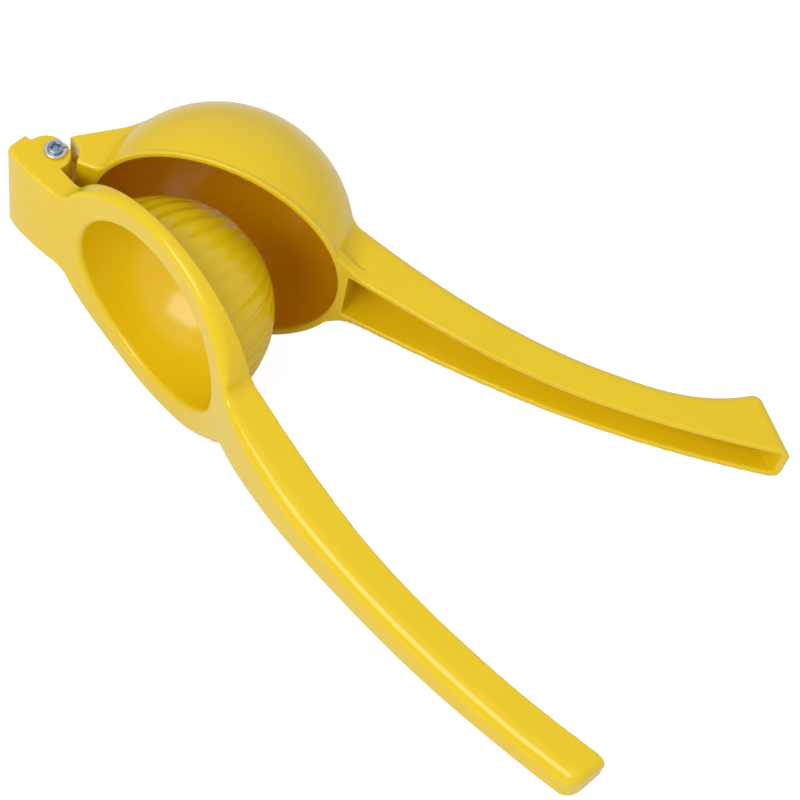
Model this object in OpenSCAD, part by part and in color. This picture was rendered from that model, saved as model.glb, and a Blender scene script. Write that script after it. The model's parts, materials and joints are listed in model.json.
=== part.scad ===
// Hinged lemon squeezer: two cast arms on one screw, lying on its side as it does on a table.
// Each arm is drawn in its own frame: X runs from the hinge axis along the arm, Y points out
// of the tool, away from the other arm, and Z is the hinge axis.

/* [Heads] */
// outer radius of the bowl rim and of the press ring
head_r = 35; // [33:0.5:37]
// hinge axis to the middle of the bowl
reach = 43; // [42.2:0.2:45]
// how much further out the middle of the press stands
press_ahead = 1.2; // [0.4:0.2:1.6]
// wall of the bowl
bowl_wall = 2.2; // [1.8:0.1:2.8]
// how far the rim flange stands out past the bowl
rim_lip = 1; // [0.6:0.1:1.6]
// height of the rim flange
rim_t = 2.4; // [1.8:0.2:3.2]
// rim plane of the bowl, below the hinge axis
rim_drop = 0.8; // [0.5:0.1:1.2]
// centre of the bowl's sphere, above the hinge axis
bowl_rise = 2.2; // [1.6:0.2:3]
// radius of the press dome, over its flutes
dome_r = 27.6; // [25:0.2:28]
// how much smaller the radius of the press hollow is
dome_wall = 2; // [1.6:0.1:2.4]
// extra wall at the dome's pole
pole_wall = 1.2; // [0.6:0.1:2]
// inner face of the press ring, outward of the hinge axis
ring_in = 2.1; // [1.7:0.1:2.6]
// flutes round the press dome
flutes = 36; // [28:1:44]
// depth of the groove between two flutes, at the ring
groove_d = 0.6; // [0.4:0.1:0.9]
// radius of the mouth of the press hollow
mouth_r = 29; // [28.4:0.2:30]
// rounding of the mouth's lip
mouth_round = 3.4; // [3:0.2:4.4]
// fillet where the hinge block runs into the ring
block_fillet = 5; // [3:0.5:7]
// radius of one drain hole
drain_r = 1.9; // [1.5:0.1:2.2]

/* [Hinge block] */
// half height of the hinge block along the pin
block_h = 14.8; // [13:0.1:16]
// back of the block behind the hinge axis
block_back = 8.4; // [7.8:0.1:9]
// radius of the knuckle round the pin
knuckle_r = 5.7; // [5.4:0.1:6]
// half width of the bowl arm's tongue
tongue_h = 6; // [5:0.5:7]
// radius of the tongue round the pin
tongue_r = 4.8; // [4.2:0.1:5]
// side play of the tongue in the fork, each side
fork_play = 0.15; // [0.1:0.05:0.3]
// gap all round the end of the tongue
tongue_gap = 0.4; // [0.3:0.05:0.6]
// radius of the relief in the lug that clears the fork's ears
relief_r = 5.75; // [5.7:0.05:6.4]

/* [Handles] */
// hinge axis to the end of the press handle
press_len = 198.5; // [185:0.5:210]
// hinge axis to the lip at the end of the bowl handle
bowl_len = 194.5; // [183:0.5:207]
// outer face of the press arm over the hinge
crown_out = 9.5; // [8.8:0.1:10.4]
// outer face of the press arm at its waist, over the ring
waist_out = 5; // [4.6:0.1:6]
// outer face of the press handle at its crest
crest_out = 17.7; // [16.5:0.1:19]
// lip of the press handle at its crest
crest_in = 7.7; // [7:0.1:8.4]
// half width of both handles where they leave the heads
root_w = 10.6; // [9.6:0.1:11.4]
// half width of both handles at the grip
grip_w = 6.4; // [5.8:0.1:7.2]
// half width of the press handle at its tip
tip_w = 5.6; // [5.2:0.1:6.6]
// half width of the bowl handle at its tip
bowl_tip_w = 6.4; // [5.4:0.1:6.8]
// side wall of both channels
side_t = 1.8; // [1.5:0.1:2.4]
// back wall of both channels
back_t = 2.3; // [1.8:0.1:3]
// rounding of the handles' back edges
back_round = 2.6; // [2:0.1:3.2]
// rounding of the handles' ends, seen along the press stroke
end_round = 3; // [2:0.2:4]
// wall across the end of both channels
end_t = 2.2; // [1.6:0.2:3]
// how far the bowl handle's back flares out at the tip
flare = 9.5; // [7:0.5:12]
// how far apart the two lips start at the heads, next to the press handle's own line
lip_ease = 1.4; // [0.8:0.1:2]
// how far the bowl handle's lip dips past that line at the tip
lip_dip = 1.3; // [0.8:0.1:1.6]

/* [Screw] */
// radius of the screw's shank
screw_r = 1.5; // [1.25:0.05:1.75]
// radius of the screw's head
screw_head_r = 1.95; // [1.85:0.05:2.2]
// height of the screw's head
screw_head_t = 0.9; // [0.8:0.1:1.4]
// outer radius of the lock washer
washer_r = 2.85; // [2.6:0.05:3.1]
// thickness of the lock washer
washer_t = 1.1; // [0.8:0.05:1.3]
// across the flats of the nut
nut_af = 5.5; // [5:0.1:5.6]
// thickness of the nut
nut_t = 2.4; // [1.8:0.1:3]
// radial play of the tongue on the screw
pin_play = 0.06; // [0.03:0.01:0.09]
// radial play of the ears on the screw
ear_play = 0.05; // [0.03:0.01:0.09]

/* [Pose] */
// angle between the two arms as the tool lies open
spread = 28.6; // [20:0.2:40]

/* [Hidden] */
enamel = "#e6bd22";
zinc = "#c3c8cf";
steps = 2.5;
half = spread / 2;
press_x = reach + press_ahead;
// stations along the arms
waist_s = 38;
rise_s = 62;
root_s = 80;
crest_s = 130;
lip_s = 135;
low_s = 144;
lean_s = 160;
start_s = 72;
flare_s = 182.6;
rise_out = 1.6;
root_out = 12;
root_lip = 1.2;
low_out = 2.3;
start_out = 15.5;
press_tip_out = 10.7;
tip_lip = 0.5;
// sphere outside and inside the bowl
bowl_r = head_r - rim_lip;
cup_r = bowl_r - bowl_wall;
dome_rise = 1.6;
// faces that meet cross each other by this much
crossing = 0.1;
// the grooves fade out at this angle from the dome's pole
fade = 24;
// the block's fillets stop at this angle before they would thin out to nothing on the ring
runout = 6;
// half width of the fork's slot and radius round its end
slot_h = tongue_h + fork_play;
slot_r = tongue_r + tongue_gap;
knuckle_x = -0.7;
knuckle_y = 2;
back_y = 2.8;
// the lug between hinge and bowl: its ends along the arm, and its back face at both
lug_start = 1.2;
lug_end = 22;
lug_slope = 6;
lug_out = 5.65;
lug_rise = 21.45;
// the tongue's web: its foot below the pin, where it reaches the rim plane, and its back end
tongue_foot = 0.5;
foot_y = -3.4;
foot_end = 6.5;
tongue_back = -2.1;
// rings of drain holes round the bowl's bottom
inner_ring = 6;
outer_ring = 11.4;
// seats of the screw
pocket_af = nut_af + 0.2;
pocket_t = nut_t + 0.4;
head_seat = block_h + washer_t;
thread_end = -block_h + 0.4;
// the tool lies on both heads and both tips, so it leans toward the tips
rim_x = (reach + press_ahead / 2) * cos(half) - (ring_in - rim_drop) / 2 * sin(half);
tip_x = (press_len + bowl_len) / 2 * cos(half);
lean_run = tip_x - rim_x;
lean = asin(head_r / norm([lean_run, tip_w])) - atan2(tip_w, lean_run);
axis_z = rim_x * sin(lean) + head_r * norm([cos(lean), cos(half) * sin(lean)]);
end_x = (press_len * cos(half) - tip_lip * sin(half)) * cos(lean) + tip_w * sin(lean);
back_x = -(block_back * cos(half) + (crown_out - 1) * sin(half)) * cos(lean) - block_h * sin(lean);
side_p = press_len * sin(half) + press_tip_out * cos(half);
side_b = flare_s * sin(half) + (low_out + flare) * cos(half);

function norm_leg(c, a) = sqrt(c * c - a * a);

// back face of the lug
function lug_back(x) = lug_out + (lug_rise - lug_out) * (x - lug_start) / (lug_end - lug_start);

function herm(a, b, x) =
    let (w = b[0] - a[0], t = (x - a[0]) / w)
    a[1] * (2 * t * t * t - 3 * t * t + 1) + b[1] * (3 * t * t - 2 * t * t * t)
    + a[2] * w * (t * t * t - 2 * t * t + t) + b[2] * w * (t * t * t - t * t);

// outer face of the press arm, as [station, height, slope] knots
function press_out(x) =
    x < 0 ? herm([-block_back, crown_out - 0.8, 0.2], [0, crown_out, 0], x)
    : x < waist_s ? herm([0, crown_out, 0], [waist_s, waist_out, 0], x)
    : x < rise_s ? herm([waist_s, waist_out, 0], [rise_s, waist_out + rise_out, 0.15], x)
    : x < root_s ? herm([rise_s, waist_out + rise_out, 0.15], [root_s, root_out, 0.33], x)
    : x < crest_s ? herm([root_s, root_out, 0.33], [crest_s, crest_out, 0], x)
    : herm([crest_s, crest_out, 0], [press_len, press_tip_out, -0.2], x);

// lip line of the press handle
function lip(x) =
    x < lip_s ? herm([start_s, root_lip, 0.15], [lip_s, crest_in, 0], x)
    : herm([lip_s, crest_in, 0], [press_len, tip_lip, -0.2], x);

// lip line of the bowl handle: the press handle's from the other side, eased apart at the heads
function bowl_lip(x) = -lip(x) + lip_ease - (lip_ease + lip_dip) * (x - start_s) / (bowl_len - start_s);

// back of the bowl handle
function bowl_out(x) =
    x < low_s ? herm([start_s, start_out, -0.32], [low_s, low_out, 0], x)
    : herm([low_s, low_out, 0], [flare_s, low_out + flare, 0.75], x);

// half width of a handle that ends in the given half width
function width(x, tip) =
    x < low_s ? herm([start_s, root_w, -0.09], [low_s, grip_w, 0], x)
    : herm([low_s, grip_w, 0], [low_s + 40, tip, 0], min(x, low_s + 40));

// one U section as a loop: back corners rounded by r, lips by q
function loop(y0, y1, w, r, q) = concat(
    [for (a = [0:22.5:90]) [y1 - r + r * sin(a), -(w - r) - r * cos(a)]],
    [for (a = [0:22.5:90]) [y1 - r + r * cos(a), (w - r) + r * sin(a)]],
    [for (a = [0:45:90]) [y0 + q - q * sin(a), (w - q) + q * cos(a)]],
    [for (a = [0:45:90]) [y0 + q - q * cos(a), -(w - q) - q * sin(a)]]);

// places a loop between the lip point a and the back point b, which may stand at another station
function placed(pts, a, b) =
    [for (p = pts) let (f = (p[0] - a[1]) / (b[1] - a[1])) [a[0] + (b[0] - a[0]) * f, p[0], p[1]]];

module loft(rings) {
    n = len(rings[0]);
    k = len(rings);
    polyhedron(
        points = [for (r = rings) for (p = r) p],
        faces = concat(
            [[for (i = [0:n - 1]) i]],
            [[for (i = [n - 1:-1:0]) (k - 1) * n + i]],
            [for (j = [0:k - 2]) for (i = [0:n - 1])
                let (a = j * n + i, b = j * n + (i + 1) % n) [b, a, a + n, b + n]]));
}

module along_y(y0, y1) {
    translate([0, y0, 0]) rotate([-90, 0, 0]) linear_extrude(y1 - y0) children();
}

module turned(x, y) {
    translate([x, y, 0]) rotate([-90, 0, 0]) rotate_extrude($fn = 180) children();
}

// puts an arm's own frame into the lying tool
module lie(side) {
    translate([-(end_x + back_x) / 2, (side_p - side_b) / 2, axis_z]) rotate([0, lean, 0])
        rotate([0, 0, side * half]) mirror([0, side < 0 ? 1 : 0, 0]) children();
}

// stations of a rounded end, each with how far the sides have come in there
function nose(x) = [for (a = [30:30:90]) [x - end_round * (1 - sin(a)), end_round * (1 - cos(a))]];

module press_handle() {
    ends = concat([for (x = [74:5:press_len - end_round]) [x, 0]], nose(press_len));
    loft([for (e = ends) let (x = e[0], w = width(x, tip_w) - e[1])
        placed(loop(lip(x), press_out(x) - 0.05 - e[1] / 6, w, min(back_round, w - 0.3), 0.5),
            [x, lip(x)], [x, press_out(x)])]);
}

module press_channel() {
    xs = concat([for (x = [root_s + 5:5:press_len - 8]) x], [press_len - end_t - 1, press_len - end_t]);
    loft([for (x = xs) let (w = width(x, tip_w) - side_t - (x > press_len - end_t - 0.5 ? 1 : 0))
        placed(loop(lip(x) - 2, press_out(x) - back_t, w, 1.4, 0.1), [x, lip(x) - 2], [x, press_out(x) - back_t])]);
}

// profile of the press head, seen along the pin
module press_side() {
    polygon(concat(
        [[-block_back, back_y], [-block_back + 0.3, 5.4], [-block_back + 0.8, crown_out - 2]],
        [for (x = [-block_back + 1.8:steps:root_s - 0.6]) [x, press_out(x)]],
        [[root_s, press_out(root_s)], [root_s, ring_in], [0, ring_in]]));
}

// plan of the press head, seen square to the ring
module press_plan() {
    fr = head_r + block_fillet;
    fz = block_h + block_fillet;
    fx = press_x - norm_leg(fr, fz);
    turn = atan2(press_x - fx, fz) - runout;
    leg = block_fillet + 1;
    translate([press_x, 0]) circle(r = head_r, $fn = 180);
    translate([-block_back, -block_h]) square([fx + block_back, 2 * block_h]);
    for (side = [-1, 1]) difference() {
        polygon([[press_x, 0], [fx, 0], [fx, side * fz],
            [fx + leg * sin(turn), side * (fz - leg * cos(turn))]]);
        translate([fx, side * fz]) circle(r = block_fillet, $fn = 96);
    }
}

module press_hollow() {
    inner = dome_r - dome_wall;
    turned(press_x, 0) {
        intersection() {
            translate([0, dome_rise + pole_wall]) circle(r = inner, $fn = 180);
            translate([0, -dome_r]) square([dome_r, dome_r + dome_rise + pole_wall]);
        }
        translate([0, dome_rise]) square([inner, 20]);
    }
    // the mouth's round lip follows the curved outer face of the ring, and starts just inside the wall
    first = inner - crossing;
    rings = [for (a = [0:22.5:90])
        [first + (mouth_r - first) * (1 - cos(a)), mouth_round * (sin(a) - 1) - crossing / 2]];
    levels = concat([[inner - 3, -mouth_round - crossing / 2]], rings, [[mouth_r, 4]]);
    loft([for (k = levels) [for (b = [354:-6:0])
        let (x = press_x + k[0] * cos(b)) [x, press_out(x) + k[1], k[0] * sin(b)]]]);
}

// depth of the grooves at an angle from the dome's pole
function groove_at(a) = let (t = max(0, (a - fade) / (90 - fade))) groove_d * t * (2 - t);

// the dome seen from its pole: broad flutes with a narrow groove between each two
function flute_ring(a, y) = [for (i = [flutes - 1:-1:0]) for (c = [0.2, 0, -0.2])
    let (b = (i + c) * 360 / flutes, r = (dome_r - (c == 0 ? groove_at(a) : 0)) * sin(a))
    [press_x + r * cos(b), y, r * sin(b)]];

module press_dome() {
    loft(concat([for (a = [5, 14, 24, 33, 42, 51, 60, 70, 80, 90]) flute_ring(a, dome_rise - dome_r * cos(a))],
        [flute_ring(90, ring_in + 1)]));
}

module press_arm() {
    color(enamel) lie(-1) difference() {
        union() {
            intersection() {
                linear_extrude(2 * head_r + 2, center = true) press_side();
                along_y(-12, 30) press_plan();
            }
            translate([knuckle_x, knuckle_y, -block_h]) cylinder(r = knuckle_r, h = 2 * block_h, $fn = 96);
            press_dome();
            press_handle();
        }
        press_hollow();
        press_channel();
        // fork slot for the tongue, open toward the bowl arm and behind
        translate([0, 0, -slot_h]) cylinder(r = slot_r, h = 2 * slot_h, $fn = 96);
        translate([-block_back - 1, -knuckle_r - 2, -slot_h])
            cube([block_back + 1, knuckle_r + 2 + slot_r, 2 * slot_h]);
        translate([-1, -knuckle_r - 2, -slot_h]) cube([1 + slot_r, knuckle_r + 2, 2 * slot_h]);
        // screw hole and nut pocket
        translate([0, 0, -block_h - 1]) cylinder(r = screw_r + ear_play, h = 2 * block_h + 2, $fn = 48);
        translate([0, 0, -block_h - 1]) cylinder(r = pocket_af / sqrt(3), h = pocket_t + 1, $fn = 6);
    }
}

// toward the tip the sections of the bowl handle lean, so that its lip runs on past its back
function leaned(x) = let (t = max(0, (x - lean_s) / (bowl_len - lean_s)))
    x - (bowl_len - flare_s) * t * t * (3 - 2 * t);

module bowl_handle() {
    ends = concat([for (x = [start_s:5:162]) [x, 0]], [for (x = [166:3:bowl_len - end_round]) [x, 0]],
        nose(bowl_len));
    loft([for (e = ends) let (x = e[0], w = width(x, bowl_tip_w) - e[1])
        placed(loop(bowl_lip(x), bowl_out(leaned(x)) - e[1] / 6, w, min(back_round, w - 0.3), 0.5),
            [x, bowl_lip(x)], [leaned(x), bowl_out(leaned(x))])]);
}

module bowl_channel() {
    xs = concat([for (x = [root_s + 2:5:162]) x], [for (x = [166:3:bowl_len - 5]) x],
        [bowl_len - end_t - 1, bowl_len - end_t]);
    loft([for (x = xs) let (xb = leaned(x), w = width(x, bowl_tip_w) - side_t - (x > bowl_len - end_t - 0.5 ? 1 : 0))
        placed(loop(bowl_lip(x) - 2, bowl_out(xb) - back_t, w, 1.4, 0.1),
            [x, bowl_lip(x) - 2], [xb, bowl_out(xb) - back_t])]);
}

module bowl_shell() {
    turned(reach, 0) {
        intersection() {
            translate([0, bowl_rise]) circle(r = bowl_r, $fn = 180);
            translate([0, -rim_drop]) square([head_r, 2 * head_r]);
        }
        translate([0, -rim_drop]) square([head_r, rim_t]);
    }
}

module bowl_cup() {
    turned(reach, 0) {
        intersection() {
            translate([0, bowl_rise]) circle(r = cup_r, $fn = 180);
            square([head_r, 2 * head_r]);
        }
        translate([0, -rim_drop - 12]) square([cup_r + 1.3, 12]);
        polygon([[0, -rim_drop - 1], [cup_r + 1.3, -rim_drop - 1], [cup_r + 1.3, -rim_drop],
            [cup_r - 0.1, rim_t - rim_drop], [0, rim_t]]);
    }
}

// side of the lug, from the pin up onto the bowl
module lug_side() {
    polygon([[lug_start, -rim_drop], [lug_end - lug_slope, -rim_drop], [lug_end, lug_slope - 2],
        [lug_end, lug_rise], [lug_start, lug_out]]);
}

module tongue_side() {
    circle(r = tongue_r, $fn = 96);
    polygon([[tongue_foot, foot_y], [foot_end, -rim_drop], [lug_end - 10, lug_back(lug_end - 10)],
        [tongue_back, lug_back(tongue_back)]]);
}

module bowl_arm() {
    color(enamel) lie(1) difference() {
        union() {
            bowl_shell();
            bowl_handle();
            difference() {
                linear_extrude(2 * block_h, center = true) lug_side();
                for (z = [-block_h - 1, tongue_h]) translate([0, 0, z])
                    cylinder(r = relief_r, h = block_h + 1 - tongue_h, $fn = 96);
            }
            linear_extrude(2 * tongue_h, center = true) tongue_side();
        }
        bowl_cup();
        bowl_channel();
        translate([0, 0, -block_h - 1]) cylinder(r = screw_r + pin_play, h = 2 * block_h + 2, $fn = 48);
        // drain holes round the bottom of the bowl
        translate([reach, bowl_rise + bowl_r - 8, 0]) rotate([-90, 0, 0]) {
            cylinder(r = drain_r, h = 12, $fn = 32);
            for (i = [0:5]) rotate([0, 0, i * 60]) translate([inner_ring, 0, -2])
                cylinder(r = drain_r, h = 14, $fn = 32);
            for (i = [0:11]) rotate([0, 0, i * 30 + 15]) translate([outer_ring, 0, -6])
                cylinder(r = drain_r, h = 18, $fn = 32);
        }
    }
}

module hinge_screw() {
    color(zinc) lie(-1) difference() {
        union() {
            translate([0, 0, thread_end]) cylinder(r = screw_r, h = head_seat - thread_end, $fn = 48);
            translate([0, 0, head_seat]) rotate_extrude($fn = 64)
                polygon([[0, 0], [screw_head_r, 0], [screw_head_r, screw_head_t - 0.4],
                    [screw_head_r - 0.15, screw_head_t - 0.15], [screw_head_r - 0.5, screw_head_t],
                    [0, screw_head_t]]);
        }
        for (a = [20, 110]) rotate([0, 0, a]) translate([-1.15, -0.3, head_seat - 0.2])
            cube([2.3, 0.6, screw_head_t + 1]);
    }
}

module lock_washer() {
    color(zinc) lie(-1) difference() {
        translate([0, 0, block_h]) rotate_extrude($fn = 64) polygon([
            [screw_r + 0.1, 0], [washer_r - 0.1, 0], [washer_r, 0.1], [washer_r, washer_t - 0.25],
            [washer_r - 0.25, washer_t], [screw_r + 0.1, washer_t]]);
        // the split
        rotate([0, 0, -61]) translate([screw_r - 0.2, -0.25, block_h - 1])
            cube([washer_r, 0.5, washer_t + 2]);
    }
}

module hinge_nut() {
    color(zinc) lie(-1) difference() {
        translate([0, 0, -block_h + pocket_t - nut_t]) cylinder(r = nut_af / sqrt(3), h = nut_t, $fn = 6);
        translate([0, 0, -block_h]) cylinder(r = screw_r + 0.02, h = pocket_t, $fn = 48);
    }
}

press_arm();
bowl_arm();
hinge_screw();
lock_washer();
hinge_nut();
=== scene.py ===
"""A hinged lemon squeezer: two enamelled castings that turn on one screw, lying open on a table."""

import json
import math

import bpy
import numpy as np
from mathutils import Euler, Matrix, Vector


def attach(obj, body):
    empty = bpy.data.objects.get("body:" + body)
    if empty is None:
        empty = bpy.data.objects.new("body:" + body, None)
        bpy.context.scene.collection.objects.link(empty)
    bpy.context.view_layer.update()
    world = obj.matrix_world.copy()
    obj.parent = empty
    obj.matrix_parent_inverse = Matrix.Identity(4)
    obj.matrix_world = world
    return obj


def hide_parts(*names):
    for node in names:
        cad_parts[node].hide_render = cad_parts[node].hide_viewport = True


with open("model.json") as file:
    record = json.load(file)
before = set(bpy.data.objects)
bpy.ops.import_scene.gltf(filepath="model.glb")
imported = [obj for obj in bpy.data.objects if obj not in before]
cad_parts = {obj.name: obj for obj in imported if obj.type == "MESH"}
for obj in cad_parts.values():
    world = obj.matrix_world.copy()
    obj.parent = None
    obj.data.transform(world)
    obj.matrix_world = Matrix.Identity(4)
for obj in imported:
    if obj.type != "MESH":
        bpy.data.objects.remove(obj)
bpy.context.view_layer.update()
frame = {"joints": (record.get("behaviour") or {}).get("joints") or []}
scene = bpy.context.scene

# ---------------------------------------------------------------- table, lights and camera
# The tool lies on a plain white table, under one large soft light in front and above it. The
# walls and the ceiling of the room glow softly too, least at the left of the camera.
camera_at = Vector((0.194236, -0.254446, 0.446989))
camera_turn = Euler([math.radians(angle) for angle in (36.60635, 1.54878, 33.01442)])
camera = bpy.data.objects.new("camera", bpy.data.cameras.new("camera"))
camera.data.lens = 97.889
camera.data.sensor_width = 36
camera.data.clip_start = 0.02
camera.data.clip_end = 20
camera.matrix_world = Matrix.LocRotScale(camera_at, camera_turn, None)
scene.collection.objects.link(camera)
scene.camera = camera
scene.view_settings.view_transform = "Standard"


def wire(tree, pairs):
    """Joins (from node, output, to node, input) in a node tree."""
    for a, out, b, into in pairs:
        tree.links.new(a.outputs[out], b.inputs[into])


def math_node(tree, operation, a, b):
    """A Math node on two values, each a number or a (node, output)."""
    node = tree.nodes.new("ShaderNodeMath")
    node.operation = operation
    for socket, value in zip(node.inputs, (a, b)):
        if isinstance(value, tuple):
            tree.links.new(value[0].outputs[value[1]], socket)
        else:
            socket.default_value = value
    return node


def plain_material(name, colour, roughness):
    """A new material, with its Principled shader at hand."""
    material = bpy.data.materials.new(name)
    material.use_nodes = True
    shader = material.node_tree.nodes["Principled BSDF"]
    shader.inputs["Base Color"].default_value = (*colour, 1)
    shader.inputs["Roughness"].default_value = roughness
    return material, shader


# the camera sees the table almost burnt out, while the tool gets its plain white light back
table_half = 3.0
table_glow = 1.12
glow_share = 0.85
table = bpy.data.objects.new("table", bpy.data.meshes.new("table"))
corners = [(x * table_half, y * table_half, 0) for x, y in ((-1, -1), (1, -1), (1, 1), (-1, 1))]
table.data.from_pydata(corners, [], [(0, 1, 2, 3)])
scene.collection.objects.link(table)
table_material, table_shader = plain_material("white_table", (0.8, 0.8, 0.8), 0.8)
table_tree = table_material.node_tree
bright = table_tree.nodes.new("ShaderNodeEmission")
bright.inputs["Strength"].default_value = table_glow
ray = table_tree.nodes.new("ShaderNodeLightPath")
share = math_node(table_tree, "MULTIPLY", (ray, "Is Camera Ray"), glow_share)
either = table_tree.nodes.new("ShaderNodeMixShader")
wire(table_tree, [(share, 0, either, 0), (table_shader, 0, either, 1), (bright, 0, either, 2),
                  (either, 0, table_tree.nodes["Material Output"], 0)])
table.data.materials.append(table_material)


def toward(azimuth, elevation):
    """The way to that side of the room, by its angles in degrees."""
    a, e = math.radians(azimuth), math.radians(elevation)
    return Vector((math.cos(a) * math.cos(e), math.sin(a) * math.cos(e), math.sin(e)))


# six glows low on the walls, three where they meet the ceiling and one overhead; their strengths,
# and the softbox's power, came out of a least-squares light fit and weren't set by hand
wall_glows = [(35 + 60 * i, 15, s) for i, s in enumerate((0.51, 0.62, 0.47, 0.22, 0.32, 0.66))]
ceiling_glows = [(120 * i, 60, s) for i, s in enumerate((0.39, 0.30, 0.51))]
overhead_glow = (0, 90, 0.18)
glow_focus = 4
room = bpy.data.worlds.new("white_room")
room.use_nodes = True
background = room.node_tree.nodes["Background"]
background.inputs["Color"].default_value = (1, 1, 1, 1)
look = room.node_tree.nodes.new("ShaderNodeTexCoord")
glow = None
for azimuth, elevation, strength in wall_glows + ceiling_glows + [overhead_glow]:
    facing = room.node_tree.nodes.new("ShaderNodeVectorMath")
    facing.operation = "DOT_PRODUCT"
    facing.inputs[1].default_value = toward(azimuth, elevation)
    wire(room.node_tree, [(look, "Generated", facing, 0)])
    near = math_node(room.node_tree, "MAXIMUM", (facing, "Value"), 0)
    soft = math_node(room.node_tree, "POWER", (near, 0), glow_focus)
    lit = math_node(room.node_tree, "MULTIPLY", (soft, 0), strength)
    glow = math_node(room.node_tree, "ADD", (glow, 0), (lit, 0)) if glow else lit
wire(room.node_tree, [(glow, 0, background, "Strength")])
scene.world = room

softbox_away = toward(-95, 46)
softbox_distance = 0.9
softbox = bpy.data.lights.new("front_softbox", "AREA")
softbox.shape = "RECTANGLE"
softbox.size = 0.62
softbox.size_y = 0.42
softbox.energy = 3.9
softbox_holder = bpy.data.objects.new("front_softbox", softbox)
softbox_holder.matrix_world = (Matrix.Translation(softbox_away * softbox_distance)
                               @ softbox_away.to_track_quat("Z", "Y").to_matrix().to_4x4())
scene.collection.objects.link(softbox_holder)

# ---------------------------------------------------------------- press arm
# One casting: hinge block, ring, fluted press dome and channel handle. It comes from the mould
# with soft edges, and a thick glossy enamel rounds them further. The enamel's colour is paler on
# the edges as a painted highlight and darker in the corners as painted shade.
hinge = frame["joints"][0]
pin_at = Vector(hinge["pos_m"])
lean = math.atan2(hinge["axis"][0], hinge["axis"][2])
tilt = math.radians(14.3)


def line_through(*knots):
    """A smooth line through (station, height, slope) knots: stations, heights and cosines of slope."""
    k = np.array(knots, float)
    x = np.arange(k[0, 0] - 4, k[-1, 0] + 6, 0.05)
    i = np.clip(np.searchsorted(k[:, 0], x) - 1, 0, len(k) - 2)
    a, b = k[i], k[i + 1]
    w = b[:, 0] - a[:, 0]
    t = np.clip((x - a[:, 0]) / w, 0, 1)
    past = x - a[:, 0] - t * w
    y = a[:, 1] * (2 * t**3 - 3 * t**2 + 1) + b[:, 1] * (3 * t**2 - 2 * t**3)
    y += a[:, 2] * w * (t**3 - 2 * t**2 + t) + b[:, 2] * w * (t**3 - t**2)
    y += past * np.where(past < 0, a[:, 2], b[:, 2])
    return x, y, 1 / np.hypot(1, np.gradient(y, x))


def above(line, x, y):
    """How far a point stands over such a line, square to it."""
    return (y - np.interp(x, line[0], line[1])) * np.interp(x, line[0], line[2])


def outside(x, y, through, facing):
    """How far a point lies outside a flat face, given a point of the face and the way it faces."""
    return facing[0] * (x - through[0]) + facing[1] * (y - through[1])


def cap(a, b, r):
    """The metal that two faces bound together, with the edge between them rounded."""
    over = np.hypot(np.maximum(a + r, 0), np.maximum(b + r, 0))
    return np.minimum(np.maximum(a, b), -r) + over


def weld(a, b, r):
    """Two forms cast together, with a fillet between them."""
    return -cap(-a, -b, r)


def ease(x, a, b):
    """Goes smoothly from 0 at a to 1 at b."""
    t = np.clip((x - a) / (b - a), 0, 1)
    return t * t * (3 - 2 * t)


# millimetres in the arm's own frame: x along the arm from the pin, y out of the tool, z up the pin
sharp = 0.45
block_half = 14.8
block_back = (-8.4, 2.8)
block_draft, block_rise = 0.12, 0.083
block_fillet = 5
press_x = 44.2
ring_r = 35
ring_in = 2.1
press_end = 198.5
handle_root = 72
press_top = line_through((block_back[0], 8.7, 0.2), (-2, 9.5, -0.02), (12, 7.9, -0.2), (38, 5.4, 0.02),
                         (62, 6.9, 0.13), (80, 11.7, 0.34), (130, 17.7, 0), (press_end, 10.7, -0.2))
press_lip = line_through((handle_root, 1.2, 0.15), (135, 7.7, 0), (press_end, 0.5, -0.2))
press_width = line_through((handle_root, 10.9, -0.09), (144, 6.4, 0), (184, 5.6, 0), (199, 5.6, 0))
lip_from = press_lip[0][np.argmax((press_lip[1] > ring_in) & (press_lip[0] > handle_root))]
dome_r, dome_y = 27.6, 1.6
hollow_r, hollow_y = 26.2, 2.8
mouth_round = 1.6
flutes = 36
flute_deepest = 0.45
smooth_pole = 20
knuckle_rounds = ((-0.9, 2.0, 5.45), (0.1, 1.2, 4.75))
back_wall, side_wall = 2.3, 1.8
channel_round = 1.4
press_channel = (85, 196.3)
fork_r, fork_half = 5.2, 6.15
ear_bore = 1.55
pocket_half, pocket_depth = 2.85, 2.8


def press_plan(x, z):
    """Outline of the press arm, seen square to the ring: block, ring and handle with their fillets."""
    ring = np.hypot(x - press_x, z) - ring_r
    block = np.maximum(z - block_half, x - press_x)
    corner_z = block_half + block_fillet
    corner_x = press_x - math.sqrt((ring_r + block_fillet)**2 - corner_z**2)
    qx, qz = x - corner_x, z - corner_z
    in_corner = (qx > 0) & (-qx * corner_z - qz * (press_x - corner_x) > 0)
    head = np.where(in_corner, block_fillet - np.hypot(qx, qz), np.minimum(ring, block))
    side = z - np.interp(x, press_width[0], press_width[1])
    handle = np.maximum(cap(side, x - press_end, 3.0), 60 - x)
    return weld(head, handle, 1.8)


def flute_depth(x, y, z):
    """How deep the flutes of the press dome lie under its round form."""
    from_pole = np.degrees(np.arctan2(np.hypot(x - press_x, z), -np.minimum(y - dome_y, 0)))
    t = np.clip((from_pole - smooth_pole) / (90 - smooth_pole), 0, 1)
    turn = np.degrees(np.arctan2(z, x - press_x)) / (360 / flutes)
    aside = np.abs(turn - np.round(turn))
    return flute_deepest * t * (2 - t) * (0.5 + 0.5 * np.cos(2 * math.pi * aside))


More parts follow.
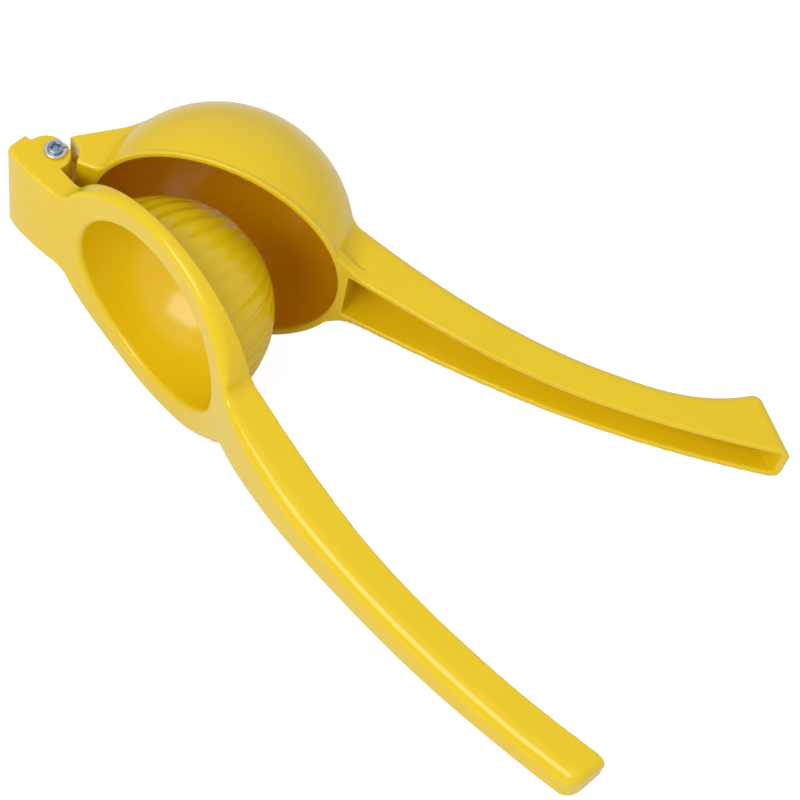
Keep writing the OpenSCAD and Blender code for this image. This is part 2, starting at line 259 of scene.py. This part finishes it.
def press_metal(x, y, z):
    """Distance from the press arm's skin, less than 0 in the metal."""
    z0, z = z, np.abs(z)
    top = above(press_top, x, y)
    # the outer edge is crisp on the block, softer on the ring and softest beside and along the handle
    edge = 0.8 + 1.2 * ease(x, 12, 30) + 1.8 * ease(x, 76, 98)
    edge = edge + 1.6 * ease(x, 60, 72) * ease(z, 13, 20)
    behind = outside(x, y, block_back, (-1, block_draft))
    low = np.where(x > lip_from, -above(press_lip, x, y), ring_in - y + block_rise * np.maximum(-x, 0))
    body = cap(cap(top, cap(press_plan(x, z), behind, 0.5), edge), low, sharp)
    knuckle = np.minimum(*[np.hypot(x - kx, y - ky) - r for kx, ky, r in knuckle_rounds])
    barrel = weld(cap(cap(top + 0.35, behind, sharp), low, sharp), knuckle, 0.4)
    body = np.minimum(body, cap(np.maximum(barrel, x - 7), z - block_half, sharp))
    # the dome under the ring, with its flutes
    centre = np.hypot(x - press_x, z)
    dome = np.hypot(centre, np.minimum(y - dome_y, 0)) - dome_r + flute_depth(x, y, z)
    body = weld(body, np.maximum(dome, y - 3), 0.6)
    # the hollow and the round lip of its mouth
    hollow = np.hypot(centre, np.minimum(y - hollow_y, 0)) - hollow_r
    body = np.maximum(body, cap(top, -hollow, mouth_round))
    # the channel of the handle
    width = np.interp(x, press_width[0], press_width[1])
    inside = cap(top + back_wall, z - width + side_wall, channel_round)
    channel = cap(inside, np.maximum(press_channel[0] - x, x - press_channel[1]), 1.2)
    body = cap(body, -channel, sharp)
    # fork slot for the tongue, screw hole and nut pocket
    slot = cap(np.hypot(np.maximum(x, 0), np.maximum(y, 0)) - fork_r, z - fork_half, 0.3)
    body = cap(body, -slot, 0.5)
    body = cap(body, ear_bore - np.hypot(x, y), 0.25)
    six = np.maximum(np.abs(y), np.abs(x) * math.cos(math.pi / 6) + np.abs(y) / 2) - pocket_half
    return cap(body, -np.maximum(six, z0 + block_half - pocket_depth), 0.25)


# the twelve edges of a lattice cell, as pairs of its corners
cell_edges = [(a, b) for a in range(8) for b in range(8) if a < b and bin(a ^ b).count("1") == 1]


def crossed_cells(metal, low, high, step):
    """The lattice cells that the skin crosses, a point in each, and which corners lie in the metal."""
    cells, at_once = 8, 400
    counts = np.ceil((np.array(high) - low) / (step * cells)).astype(int)
    blocks = np.stack(np.meshgrid(*[np.arange(c) for c in counts], indexing="ij"), -1).reshape(-1, 3)
    blocks = blocks * cells
    middle = low + (blocks + cells / 2) * step
    blocks = blocks[np.abs(metal(*middle.T)) < 1.15 * step * cells]
    grid = np.stack(np.meshgrid(*[np.arange(cells + 1)] * 3, indexing="ij"), -1).reshape(-1, 3)
    found, places, signs = [], [], []
    for start in range(0, len(blocks), at_once):
        some = blocks[start:start + at_once]
        at = low + (some[:, None, :] + grid[None]) * step
        f = metal(*at.reshape(-1, 3).T).reshape(len(some), cells + 1, cells + 1, cells + 1)
        corners = np.stack([f[:, i:cells + i, j:cells + j, k:cells + k]
                            for i, j, k in ((c & 1, c >> 1 & 1, c >> 2) for c in range(8))], -1)
        count = (corners < 0).sum(-1)
        b, i, j, k = np.nonzero((count > 0) & (count < 8))
        value = corners[b, i, j, k]
        total, hits = np.zeros((len(b), 3)), np.zeros(len(b))
        for p, q in cell_edges:
            cross = (value[:, p] < 0) != (value[:, q] < 0)
            share = np.where(cross, value[:, p] / np.where(cross, value[:, p] - value[:, q], 1), 0)
            p_at = np.array([p & 1, p >> 1 & 1, p >> 2])
            q_at = np.array([q & 1, q >> 1 & 1, q >> 2])
            total += (p_at + share[:, None] * (q_at - p_at)) * cross[:, None]
            hits += cross
        cell = some[b] + np.stack([i, j, k], -1)
        found.append(cell)
        places.append(low + (cell + total / hits[:, None]) * step)
        signs.append(value[:, [0, 1, 2, 4]] < 0)
    return np.concatenate(found), np.concatenate(places), np.concatenate(signs), counts * cells + 2


def skin_of(metal, low, high, step):
    """Meshes the metal's skin on a fine lattice: returns its points, their normals and the faces."""
    cell, place, sign, size = crossed_cells(metal, np.array(low, float), high, step)
    key = (cell[:, 0] * size[1] + cell[:, 1]) * size[2] + cell[:, 2]
    order = np.argsort(key)
    place, sign, key = place[order], sign[order], key[order]
    unit = np.array([size[1] * size[2], size[2], 1])
    faces = []
    for axis in range(3):
        p, q = (axis + 1) % 3, (axis + 2) % 3
        cut = np.nonzero(sign[:, 0] != sign[:, axis + 1])[0]
        quad = np.stack([key[cut] - unit[p] - unit[q], key[cut] - unit[q], key[cut], key[cut] - unit[p]], -1)
        index = np.searchsorted(key, quad)
        if not (key[np.minimum(index, len(key) - 1)] == quad).all():
            raise ValueError("the lattice doesn't close round the metal")
        outward = sign[cut, 0]
        faces.append(np.where(outward[:, None], index, index[:, ::-1]))
    # each point steps onto the skin along the slope
    small = 0.02
    for _ in range(4):
        f = metal(*place.T)
        ahead = [metal(*(place + d).T) - metal(*(place - d).T) for d in np.eye(3) * small]
        slope = np.stack(ahead, -1) / (2 * small)
        steep = (slope**2).sum(-1).clip(0.1)
        place = place - slope * np.clip(f / steep, -0.3 * step, 0.3 * step)[:, None]
    normal = slope / np.sqrt(steep)[:, None]
    return place, normal, np.concatenate(faces)


def cast(name, metal, low, high, step, side, cup_shade=None):
    """A piece as a mesh object, in metres, turned from its arm's own frame into the lying tool."""
    place, normal, faces = skin_of(metal, low, high, step)
    turn = np.array(Matrix.Rotation(lean, 3, "Y") @ Matrix.Rotation(side * tilt, 3, "Z")
                    @ Matrix.Diagonal((1, side, 1)))
    points = place @ turn.T / 1000 + np.array(pin_at)
    mesh = bpy.data.meshes.new(name)
    mesh.from_pydata(points.tolist(), [], (faces if side > 0 else faces[:, ::-1]).tolist())
    mesh.shade_smooth()
    mesh.normals_split_custom_set_from_vertices((normal @ turn.T).tolist())
    # how much the skin bends outwards at an edge, or inwards in a corner
    reach, flat, full = 0.5, 0.12, 1.2
    around = [metal(*(place + sign * d).T) for d in np.eye(3) * reach for sign in (-1, 1)]
    bend = (sum(around) - 6 * metal(*place.T)) / reach**2
    # the edge mask paints a highlight onto the enamel, and the corner mask paints shade into it
    masks = {"edge": np.clip((bend - flat) / full, 0, 1), "corner": np.clip((-bend - flat) / full, 0, 1)}
    # the optional mask marks the bowl's inside, which the enamel darkens as painted shade
    if cup_shade:
        masks["cup_shade"] = cup_shade(*place.T)
    for label, values in masks.items():
        attribute = mesh.attributes.new(label, "FLOAT", "POINT")
        attribute.data.foreach_set("value", values.astype(np.float32))
    piece = bpy.data.objects.new(name, mesh)
    scene.collection.objects.link(piece)
    return piece


def span(tree, source, low, high, to_low, to_high):
    """Carries a value from one range to another, held at its ends."""
    node = tree.nodes.new("ShaderNodeMapRange")
    for label, value in (("From Min", low), ("From Max", high), ("To Min", to_low), ("To Max", to_high)):
        node.inputs[label].default_value = value
    wire(tree, [source + (node, "Value")])
    return node


def mottle_group():
    """Fine unevenness of a finished metal surface: broad patches, small ripples and rare specks."""
    group = bpy.data.node_groups.new("surface_mottle", "ShaderNodeTree")
    for label, default in (("Patch size", 14.0), ("Ripple size", 1.3), ("Speck size", 2.2)):
        socket = group.interface.new_socket(label, in_out="INPUT", socket_type="NodeSocketFloat")
        socket.default_value = default
    for label in ("Patches", "Ripples", "Specks"):
        group.interface.new_socket(label, in_out="OUTPUT", socket_type="NodeSocketFloat")
    given, made = group.nodes.new("NodeGroupInput"), group.nodes.new("NodeGroupOutput")
    place = group.nodes.new("ShaderNodeTexCoord")
    for label, detail, result in (("Patch size", 2.0, "Patches"), ("Ripple size", 1.0, "Ripples")):
        texture = group.nodes.new("ShaderNodeTexNoise")
        texture.inputs["Detail"].default_value = detail
        scale = math_node(group, "DIVIDE", 1000, (given, label))
        wire(group, [(scale, 0, texture, "Scale"), (place, "Object", texture, "Vector"),
                     (texture, "Fac", made, result)])
    cells = group.nodes.new("ShaderNodeTexVoronoi")
    scale = math_node(group, "DIVIDE", 1000, (given, "Speck size"))
    speck = span(group, (cells, "Distance"), 0.012, 0.022, 1, 0)
    wire(group, [(scale, 0, cells, "Scale"), (place, "Object", cells, "Vector"),
                 (speck, "Result", made, "Specks")])
    return group


mottle = mottle_group()


def mottled(tree, patch, ripple, speck):
    """The mottle group in a material, with its sizes in millimetres."""
    node = tree.nodes.new("ShaderNodeGroup")
    node.node_tree = mottle
    for label, value in (("Patch size", patch), ("Ripple size", ripple), ("Speck size", speck)):
        node.inputs[label].default_value = value
    return node


def mix(tree, factor, a, b):
    """Mixes two colours, each a colour or a (node, output), by another node's output."""
    node = tree.nodes.new("ShaderNodeMix")
    node.data_type = "RGBA"
    for socket, value in ((node.inputs[6], a), (node.inputs[7], b)):
        if isinstance(value[0], bpy.types.Node):
            tree.links.new(value[0].outputs[value[1]], socket)
        else:
            socket.default_value = (*value, 1)
    tree.links.new(factor[0].outputs[factor[1]], node.inputs[0])
    return node


def rippled(tree, surface, shader, strength, height):
    """Lets the mottle's ripples stir the surface a little."""
    bump = tree.nodes.new("ShaderNodeBump")
    bump.inputs["Strength"].default_value = strength
    bump.inputs["Distance"].default_value = height
    wire(tree, [(surface, "Ripples", bump, "Height"), (bump, "Normal", shader, "Normal")])


def enamel_material():
    """Yellow enamel, paler on the edges as a painted highlight, and deeper orange in the corners and inside
    the bowl as painted shade.
    """
    yellow, pale_yellow = (0.77, 0.53, 0.004), (0.80, 0.57, 0.008)
    # the paler edge yellow is a painted highlight, and the crease orange is painted shade
    painted_edge_yellow, painted_crease_orange = (0.84, 0.60, 0.035), (0.70, 0.38, 0.004)
    # the cup orange is painted shade inside the bowl
    cup_shade_orange, speck_brown = (0.80, 0.40, 0.002), (0.35, 0.2, 0.02)
    material, shader = plain_material("yellow_enamel", yellow, 0.18)
    shader.inputs["Specular IOR Level"].default_value = 0.44
    tree = material.node_tree
    surface = mottled(tree, patch=16, ripple=1.5, speck=11)
    edge_sheen_attr, crease_shade_attr, cup_shade_attr = [tree.nodes.new("ShaderNodeAttribute") for _ in range(3)]
    edge_sheen_attr.attribute_name, crease_shade_attr.attribute_name, cup_shade_attr.attribute_name = "edge", "corner", "cup_shade"
    base = mix(tree, (surface, "Patches"), yellow, pale_yellow)
    # painted highlight: paler yellow on the convex edges
    edge = mix(tree, (span(tree, (edge_sheen_attr, "Fac"), 0, 1, 0, 0.5), "Result"), (base, 2), painted_edge_yellow)
    # painted shade: deeper orange in the creases
    corner = mix(tree, (span(tree, (crease_shade_attr, "Fac"), 0, 1, 0, 0.25), "Result"), (edge, 2), painted_crease_orange)
    # painted shade: deeper orange inside the bowl
    inside = mix(tree, (cup_shade_attr, "Fac"), (corner, 2), cup_shade_orange)
    speck = mix(tree, (span(tree, (surface, "Specks"), 0, 1, 0, 0.3), "Result"), (inside, 2), speck_brown)
    rough = span(tree, (surface, "Patches"), 0.3, 0.7, 0.16, 0.2)
    wire(tree, [(speck, 2, shader, "Base Color"), (rough, "Result", shader, "Roughness")])
    rippled(tree, surface, shader, strength=0.06, height=0.0002)
    return material


enamel = enamel_material()
press_arm = cast("press_arm_casting", press_metal, (-10, -27, -37), (201, 20, 37), step=0.56, side=-1)
press_arm.data.materials.append(enamel)
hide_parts("press_arm")
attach(press_arm, "press arm")

# ---------------------------------------------------------------- bowl arm
# The other casting: tongue, lug, perforated bowl with a low flange round its rim, and a channel
# handle whose end flares out. It has the same enamel, painted a deeper orange inside the bowl as painted
# shade.
bowl_x = 43.0
ball_r, ball_y = 34.2, 2.2
flange_r, flange_y = 34.5, 0.1
rim_y = -0.8
cup_r = 31.8
cup_flare = 0.9
bowl_end = 194.5
heel = (182.6, 11.8)
bowl_back = line_through((handle_root, 15.5, -0.32), (144, 2.3, 0), (*heel, 0.75))
bowl_width = line_through((handle_root, 10.6, -0.09), (144, 6.4, 0), (184, 6.4, 0), (199, 6.4, 0))
# its lips mirror the press arm's, a little apart from them at the root and drawn in towards the tip
lips_apart, lips_close = 1.4, 2.7
lip_x = press_lip[0]
lip_y = lips_apart - press_lip[1] - lips_close * (lip_x - handle_root) / (bowl_end - handle_root)
bowl_lip = (lip_x, lip_y, 1 / np.hypot(1, np.gradient(lip_y, lip_x)))
leave_rim = lip_x[np.argmax((lip_y < rim_y) & (lip_x > handle_root + 2))]
tip = (bowl_end, float(np.interp(bowl_end, lip_x, lip_y)))
end_slant = Vector((heel[1] - tip[1], tip[0] - heel[0])).normalized()
crotch_r, crotch_round = 33.9, 7.5
bowl_channel_from = 78
lug_from, lug_out, lug_to = 1.2, 5.65, 24
lug_facing = (-0.605, 0.796)
relief_r = 5.75
tongue_r, tongue_half = 4.8, 6
tongue_bore = 1.56
drain_r, drain_from = 1.9, 18
# one drain hole in the middle, and two rings of them: radius, first angle and step
drain_rings = ((6, 0, 60), (11.4, 15, 30))
holes = [(bowl_x, 0.0)]
for radius, first, apart in drain_rings:
    angles = np.radians(range(first, 360, apart))
    holes += [(bowl_x + radius * math.cos(a), radius * math.sin(a)) for a in angles]
mid_wall_r = 33.7


def bowl_metal(x, y, z):
    """Distance from the bowl arm's skin, less than 0 in the metal."""
    z0, z = z, np.abs(z)
    centre = np.hypot(x - bowl_x, z)
    ball = np.hypot(centre, y - ball_y) - ball_r
    body = weld(ball, cap(centre - flange_r, y + flange_y, 0.35), 0.9)
    # the lug's upper part carries the bowl
    back = outside(x, y, (lug_from, lug_out), lug_facing)
    lug = cap(cap(back, z - block_half, 0.5), lug_from - x, 0.4)
    lug = np.maximum(lug, x - lug_to)
    # the handle, and the fillets where it leaves the rim
    side = z - np.interp(x, bowl_width[0], bowl_width[1])
    end = outside(x, y, tip, end_slant)
    out = above(bowl_back, x, y)
    handle = np.maximum(cap(out, cap(side, end, 2.6), 2.6), 66 - x)
    body = weld(weld(body, lug, 1.6), handle, 2.0)
    crotch = weld(centre - crotch_r, np.maximum(side, np.maximum(66 - x, x - 92)), crotch_round)
    body = np.minimum(body, np.maximum(cap(crotch, y - 2.4, 1.2), x - 84))
    # rim plane and the handle's lips
    under = np.where(x > leave_rim, -above(bowl_lip, x, y), rim_y - y)
    body = cap(body, under, sharp + 0.6 * (1 - ease(x, 12, 22)))
    relief = np.maximum(np.hypot(x, y) - relief_r, tongue_half - z)
    body = cap(body, -relief, 0.3)
    # the tongue between the ears of the fork
    bar = np.maximum(outside(x, y, (-2.1, 2.8), (-0.608, 0.794)),
                     outside(x, y, (0.5, -3.4), (0.398, -0.917)))
    bar = np.maximum(bar, np.maximum(-1 - x, x - 10))
    tongue = cap(weld(np.hypot(x, y) - tongue_r, bar, 0.8), z - tongue_half, 0.4)
    body = weld(body, tongue, 0.3)
    # the cup, round-edged at the rim
    cup = np.hypot(centre, np.maximum(y - ball_y, 0)) - cup_r - cup_flare * (1 - ease(y, -1, 15))
    body = np.maximum(body, cap(under, -cup, 0.6))
    # the channel of the handle, the pin's bore and the drain holes
    inside = cap(out + back_wall, side + side_wall, channel_round)
    channel = cap(inside, np.maximum(bowl_channel_from - x, end + 1.6), 0.8)
    body = cap(body, -channel, sharp)
    body = cap(body, tongue_bore - np.hypot(x, y), 0.2)
    drain = np.minimum.reduce([np.hypot(x - hx, z0 - hz) for hx, hz in holes])
    return cap(body, np.minimum(drain_r - drain, y - drain_from), 0.35)


def in_the_cup(x, y, z):
    """1 on the inside of the bowl, where the enamel is darkened to orange as painted shade, and 0 elsewhere.
    """
    from_middle = np.hypot(np.hypot(x - bowl_x, z), np.maximum(y - ball_y, 0))
    return ease(mid_wall_r - from_middle, 0, 0.5) * ease(y, -0.4, 0.8)


bowl_arm = cast("bowl_arm_casting", bowl_metal, (-6, -11, -37), (197, 39, 37), step=0.58, side=1,
                cup_shade=in_the_cup)
bowl_arm.data.materials.append(enamel)
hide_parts("bowl_arm")
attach(bowl_arm, "bowl arm")

# ---------------------------------------------------------------- hinge screw
# A zinc-plated M3 machine screw with a small domed head and a cross recess. It goes down through
# both ears and the tongue, and its thread ends in the nut.
head_seat = 15.9
head_r = 1.95
recess_turn = 20
recess_core = 0.66
cross_half, cross_reach = 0.26, 0.95
shank_r = 1.5
thread_from = 3.6
screw_end = -14.4


def screw_metal(x, y, z):
    """Distance from the screw's skin: head, cross recess, plain shank and the core under the thread."""
    radius = np.hypot(x, y)
    head = cap(radius - head_r, z - head_seat - 0.9 + 0.03 * radius**2, 0.42)
    head = cap(head, head_seat - z, 0.1)
    up = z - head_seat + 0.15
    recess = radius - recess_core - 0.4 * up
    for turn in (math.radians(recess_turn), math.radians(recess_turn + 90)):
        u = np.abs(x * math.cos(turn) + y * math.sin(turn))
        v = np.abs(y * math.cos(turn) - x * math.sin(turn))
        arm = np.maximum(v - cross_half - 0.14 * up, u - cross_reach - 0.45 * up)
        recess = np.minimum(recess, arm)
    core = radius - shank_r + 0.24 * ease(-z, thread_from, thread_from + 0.8)
    shank = np.maximum(core, z - head_seat - 0.05)
    body = np.minimum(head, cap(shank, screw_end - z, 0.3))
    return cap(body, -np.maximum(recess, -up), 0.08)


def geometry_tree(name, inputs):
    """A new Geometry Nodes tree with those named inputs."""
    tree = bpy.data.node_groups.new(name, "GeometryNodeTree")
    tree.interface.new_socket("Geometry", in_out="OUTPUT", socket_type="NodeSocketGeometry")
    for label, value in inputs:
        socket = tree.interface.new_socket(label, in_out="INPUT", socket_type="NodeSocketFloat")
        socket.default_value = value
    tree.interface.new_socket("Material", in_out="INPUT", socket_type="NodeSocketMaterial")
    return tree, tree.nodes.new("NodeGroupInput"), tree.nodes.new("NodeGroupOutput")


def raised(tree, path, height):
    """A path lifted up the pin. The height is a (node, output)."""
    lift = tree.nodes.new("ShaderNodeCombineXYZ")
    shift = tree.nodes.new("GeometryNodeSetPosition")
    wire(tree, [height + (lift, "Z"), (path, 0, shift, "Geometry"), (lift, 0, shift, "Offset")])
    return shift


def swept(tree, path, profile):
    """A profile drawn along a path, with closed ends."""
    sweep = tree.nodes.new("GeometryNodeCurveToMesh")
    sweep.inputs["Fill Caps"].default_value = True
    wire(tree, [(path, 0, sweep, "Curve"), (profile, 0, sweep, "Profile Curve")])
    return sweep


def end_tree(tree, shape, given, made):
    """Ends a tree: its instances are made real and get the material."""
    solid = tree.nodes.new("GeometryNodeRealizeInstances")
    painted = tree.nodes.new("GeometryNodeSetMaterial")
    wire(tree, [(shape, 0, solid, 0), (solid, 0, painted, 0), (given, "Material", painted, "Material"),
                (painted, 0, made, 0)])


def grown(name, tree, material):
    """What a Geometry Nodes tree makes, as a plain mesh."""
    seed = bpy.data.objects.new(name, bpy.data.meshes.new(name))
    scene.collection.objects.link(seed)
    modifier = seed.modifiers.new("shape", "NODES")
    modifier.node_group = tree
    sockets = {item.name: item.identifier for item in tree.interface.items_tree if item.in_out == "INPUT"}
    modifier[sockets["Material"]] = material
    mesh = bpy.data.meshes.new_from_object(seed.evaluated_get(bpy.context.evaluated_depsgraph_get()))
    bpy.data.objects.remove(seed)
    mesh.name = name
    return mesh


def on_pin(name, mesh):
    """An object from a mesh in millimetres, carried from the press arm's frame into the lying tool."""
    turn = (Matrix.Rotation(lean, 4, "Y") @ Matrix.Rotation(-tilt, 4, "Z")
            @ Matrix.Diagonal((0.001, -0.001, 0.001, 1)))
    mesh.transform(Matrix.Translation(pin_at) @ turn)
    mesh.flip_normals()
    piece = bpy.data.objects.new(name, mesh)
    scene.collection.objects.link(piece)
    return piece


def zinc_material(name, colour, roughness):
    """Zinc plating: bright metal with a faint cloud of passivation and a fine grain."""
    material, shader = plain_material(name, colour, roughness)
    shader.inputs["Metallic"].default_value = 1.0
    tree = material.node_tree
    surface = mottled(tree, patch=1.6, ripple=0.16, speck=1.2)
    tint = mix(tree, (surface, "Patches"), [c * 0.94 for c in colour], [min(1, c * 1.04) for c in colour])
    specks = span(tree, (surface, "Specks"), 0, 1, 0, 0.4)
    dull = mix(tree, (specks, "Result"), (tint, 2), [c * 0.5 for c in colour])
    rough = span(tree, (surface, "Patches"), 0.3, 0.7, roughness * 0.75, roughness * 1.35)
    wire(tree, [(dull, 2, shader, "Base Color"), (rough, "Result", shader, "Roughness")])
    rippled(tree, surface, shader, strength=0.12, height=0.00002)
    return material


blue_zinc = zinc_material("blue_zinc", (0.34, 0.43, 0.54), 0.3)

thread_tree, given, made = geometry_tree("screw_thread", [
    ("Pitch", 0.5), ("Turns", 20.0), ("Core radius", 1.24), ("Depth", 0.26), ("Start height", -14.3)])
coil = thread_tree.nodes.new("GeometryNodeCurveSpiral")
coil.inputs["Resolution"].default_value = 40
rise = math_node(thread_tree, "MULTIPLY", (given, "Turns"), (given, "Pitch"))
ridge = thread_tree.nodes.new("GeometryNodeCurvePrimitiveCircle")
ridge.mode = "RADIUS"
ridge.inputs["Resolution"].default_value = 3
wire(thread_tree, [
    (given, "Turns", coil, "Rotations"), (given, "Core radius", coil, "Start Radius"),
    (given, "Core radius", coil, "End Radius"), (rise, 0, coil, "Height"),
    (given, "Depth", ridge, "Radius")])
lifted = raised(thread_tree, coil, (given, "Start height"))
end_tree(thread_tree, swept(thread_tree, lifted, ridge), given, made)

screw = cast("cross_head_screw", screw_metal, (-2.2, -2.2, -14.9), (2.3, 2.3, 17.2), step=0.13, side=-1)
screw.data.materials.append(blue_zinc)
thread = on_pin("thread", grown("thread", thread_tree, blue_zinc))
with bpy.context.temp_override(active_object=screw, object=screw, selected_editable_objects=[screw, thread]):
    bpy.ops.object.join()
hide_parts("hinge_screw")
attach(screw, "press arm")

# ---------------------------------------------------------------- lock washer
# A split spring washer of square steel wire, wound to a ring. Its two ends stand a little apart
# in height, and they bite under the screw's head.
bright_zinc = zinc_material("bright_zinc", (0.68, 0.69, 0.71), 0.2)
ring_tree, given, made = geometry_tree("spring_ring", [
    ("Ring radius", 2.23), ("Wire width", 1.24), ("Wire height", 1.0), ("Wire edge", 0.24),
    ("Split side", math.radians(-55)), ("Sweep", math.radians(348)), ("Ends apart", 0.1), ("Height", 15.36)])
arc = ring_tree.nodes.new("GeometryNodeCurveArc")
arc.inputs["Resolution"].default_value = 120
section = ring_tree.nodes.new("GeometryNodeCurvePrimitiveQuadrilateral")
fillet = ring_tree.nodes.new("GeometryNodeFilletCurve")
fillet.mode = "POLY"
fillet.inputs["Count"].default_value = 4
along = ring_tree.nodes.new("GeometryNodeSplineParameter")
half_apart = math_node(ring_tree, "MULTIPLY", (given, "Ends apart"), 0.5)
low_end = math_node(ring_tree, "SUBTRACT", (given, "Height"), (half_apart, 0))
high_end = math_node(ring_tree, "ADD", (given, "Height"), (half_apart, 0))
climb = ring_tree.nodes.new("ShaderNodeMapRange")
soft_skin = ring_tree.nodes.new("GeometryNodeSetShadeSmooth")
wire(ring_tree, [
    (given, "Ring radius", arc, "Radius"), (given, "Split side", arc, "Start Angle"),
    (given, "Sweep", arc, "Sweep Angle"), (given, "Wire width", section, "Width"),
    (given, "Wire height", section, "Height"), (given, "Wire edge", fillet, "Radius"),
    (section, 0, fillet, 0), (along, "Factor", climb, "Value"), (low_end, 0, climb, "To Min"),
    (high_end, 0, climb, "To Max")])
lifted = raised(ring_tree, arc, (climb, "Result"))
wire(ring_tree, [(swept(ring_tree, lifted, fillet), 0, soft_skin, 0)])
end_tree(ring_tree, soft_skin, given, made)
washer = on_pin("split_lock_washer", grown("split_lock_washer", ring_tree, bright_zinc))
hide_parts("lock_washer")
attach(washer, "press arm")

# ---------------------------------------------------------------- hinge nut
# A plain M3 hexagon nut, chamfered on both sides. It sits in a six-sided pocket in the lower ear,
# which keeps it from turning.
nut_middle = -13.2
nut_half_flats = 2.75
nut_half = 1.2
nut_bore = 1.3
chamfer_r, countersink_r = 2.72, 1.62


def nut_metal(x, y, z):
    """Distance from the nut's skin: six flats, a chamfer at both sides and a countersunk bore."""
    radius, up = np.hypot(x, y), np.abs(z - nut_middle)
    slant = [np.abs(x * math.sin(a) + y * math.cos(a)) for a in np.radians((0, 60, 120))]
    body = cap(np.maximum(np.maximum(slant[0], slant[1]), slant[2]) - nut_half_flats, up - nut_half, 0.05)
    body = np.maximum(body, (radius - chamfer_r) * 0.5 + (up - nut_half) * 0.866)
    bore = np.minimum(radius - nut_bore, (radius - countersink_r - (up - nut_half)) * 0.707)
    return cap(body, -bore, 0.05)


nut = cast("hexagon_nut", nut_metal, (-3.4, -3.4, -14.6), (3.5, 3.5, -11.7), step=0.14, side=-1)
nut.data.materials.append(bright_zinc)
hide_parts("hinge_nut")
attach(nut, "press arm")
